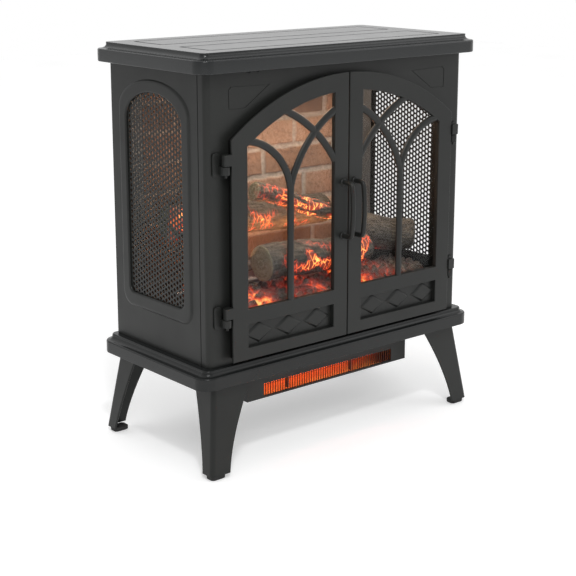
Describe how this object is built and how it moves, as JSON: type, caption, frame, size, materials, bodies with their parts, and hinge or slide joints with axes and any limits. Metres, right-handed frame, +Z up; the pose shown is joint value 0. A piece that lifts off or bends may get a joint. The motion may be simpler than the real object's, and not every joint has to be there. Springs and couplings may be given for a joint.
{
  "type": "electric fireplace",
  "caption": "Freestanding electric stove fireplace with arched double doors, mesh side windows, log set and a fan heater under the plinth.",
  "frame": {"origin": "on the floor, under the middle of the whole object's box", "axes": "+Z up, -Y is the front with the doors, +X to the right as seen from the front"},
  "size_m": [0.592, 0.32, 0.6584],
  "materials": {
    "charcoal_paint": "satin powder coat",
    "gloss_trim": "semi-gloss powder coat",
    "door_glass": "clear",
    "printed_brick": "matt",
    "moulded_log": "textured",
    "ember_resin": "translucent, lit from below",
    "zinc_steel": "zinc plated",
    "quartz_tube": "clear, glowing",
    "reflector_metal": "polished",
    "black_plastic": "fine texture",
    "gloss_plastic": "gloss",
    "circuit_board": "satin",
    "rubber_pad": "matt"
  },
  "bodies": {
    "cabinet": {"back_panel": "charcoal_paint", "blower_motor": "zinc_steel", "brick_back_wall": "printed_brick", "control_board": "circuit_board", "control_panel": "black_plastic", "door_catch": "black_plastic", "ember_bed": "ember_resin", "firebox_ceiling": "charcoal_paint", "firebox_floor": "charcoal_paint", "flame_motor": "zinc_steel", "front_fascia": "charcoal_paint", "front_left_foot_pad": "rubber_pad", "front_left_leg": "charcoal_paint", "front_quartz_tube": "quartz_tube", "front_right_foot_pad": "rubber_pad", "front_right_leg": "charcoal_paint", "heater_grille": "charcoal_paint", "heater_housing": "charcoal_paint", "heater_reflector": "reflector_metal", "led_board": "circuit_board", "left_lower_hinge_bracket": "charcoal_paint", "left_mesh_screen": "charcoal_paint", "left_side_panel": "charcoal_paint", "left_upper_hinge_bracket": "charcoal_paint", "log_branch": "moulded_log", "log_front": "moulded_log", "log_left": "moulded_log", "log_rear": "moulded_log", "log_right": "moulded_log", "plinth": "gloss_trim", "power_inlet_gland": "black_plastic", "rear_left_foot_pad": "rubber_pad", "rear_left_leg": "charcoal_paint", "rear_quartz_tube": "quartz_tube", "rear_right_foot_pad": "rubber_pad", "rear_right_leg": "charcoal_paint", "right_lower_hinge_bracket": "charcoal_paint", "right_mesh_screen": "charcoal_paint", "right_side_panel": "charcoal_paint", "right_upper_hinge_bracket": "charcoal_paint", "signal_sensor": "gloss_plastic", "top_lid": "gloss_trim"},
    "left_door": {"left_door_frame": "charcoal_paint", "left_door_glass": "door_glass", "left_door_kick_panel": "charcoal_paint", "left_door_handle": "charcoal_paint", "left_upper_hinge_block": "charcoal_paint", "left_lower_hinge_block": "charcoal_paint"},
    "right_door": {"right_door_frame": "charcoal_paint", "right_door_glass": "door_glass", "right_door_kick_panel": "charcoal_paint", "right_door_handle": "charcoal_paint", "right_upper_hinge_block": "charcoal_paint", "right_lower_hinge_block": "charcoal_paint"},
    "flame_spindle": {"flame_spindle": "reflector_metal"},
    "blower_wheel": {"blower_wheel": "black_plastic"},
    "power_switch": {"power_switch": "gloss_plastic"},
    "flame_button": {"flame_button": "gloss_plastic"},
    "heat_button": {"heat_button": "gloss_plastic"},
    "timer_button": {"timer_button": "gloss_plastic"}
  },
  "joints": [
    {"name": "left_door_hinge", "type": "hinge", "parent": "cabinet", "child": "left_door", "pos_m": [-0.2452, -0.1273, 0.372], "axis": [0, 0, -1], "range_deg": [0, 110]},
    {"name": "right_door_hinge", "type": "hinge", "parent": "cabinet", "child": "right_door", "pos_m": [0.2452, -0.1273, 0.372], "axis": [0, 0, 1], "range_deg": [0, 110]},
    {"name": "flame_spindle_spin", "type": "hinge", "parent": "cabinet", "child": "flame_spindle", "pos_m": [0, 0.0725, 0.242], "axis": [1, 0, 0], "continuous": true},
    {"name": "blower_spin", "type": "hinge", "parent": "cabinet", "child": "blower_wheel", "pos_m": [0, 0.0305, 0.118], "axis": [1, 0, 0], "continuous": true},
    {"name": "power_switch_rock", "type": "hinge", "parent": "cabinet", "child": "power_switch", "pos_m": [0.1825, 0.1356, 0.563], "axis": [1, 0, 0], "range_deg": [0, 12]},
    {"name": "flame_button_press", "type": "slide", "parent": "cabinet", "child": "flame_button", "axis": [0, -1, 0], "range_m": [0, 0.002], "stiffness_N_per_m": 300},
    {"name": "heat_button_press", "type": "slide", "parent": "cabinet", "child": "heat_button", "axis": [0, -1, 0], "range_m": [0, 0.002], "stiffness_N_per_m": 300},
    {"name": "timer_button_press", "type": "slide", "parent": "cabinet", "child": "timer_button", "axis": [0, -1, 0], "range_m": [0, 0.002], "stiffness_N_per_m": 300}
  ]
}
